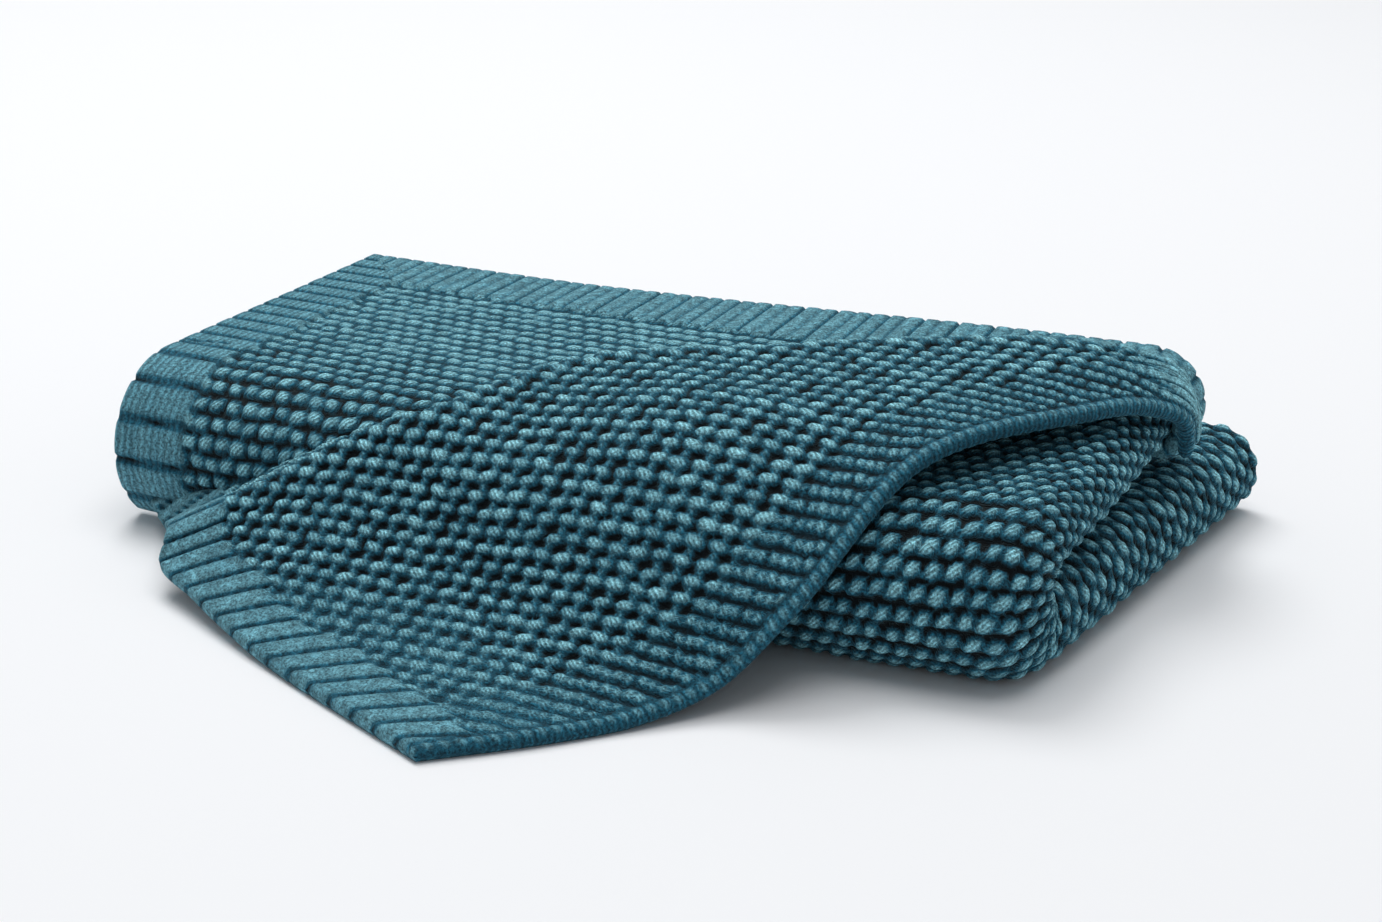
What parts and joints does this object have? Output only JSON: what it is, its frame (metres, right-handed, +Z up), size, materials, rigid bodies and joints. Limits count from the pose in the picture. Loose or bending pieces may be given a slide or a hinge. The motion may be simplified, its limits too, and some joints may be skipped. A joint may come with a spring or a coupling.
{
  "type": "folded knit blanket",
  "caption": "Chunky knit throw blanket folded into a soft stack, with its top layer turned back over the front so that one corner rests on the surface.",
  "frame": {"origin": "middle of the bounding box, at the height of the surface it lies on", "axes": "+X along the stack towards the end where the flap is tucked in, +Y to its back, +Z up"},
  "size_m": [0.5911, 0.4952, 0.1224],
  "materials": {
    "knit_yarn": "soft matt wool-like yarn in petrol blue, knitted in seed stitch with ribbed borders"
  },
  "bodies": {
    "root": {"blanket": "knit_yarn"}
  },
  "joints": []
}
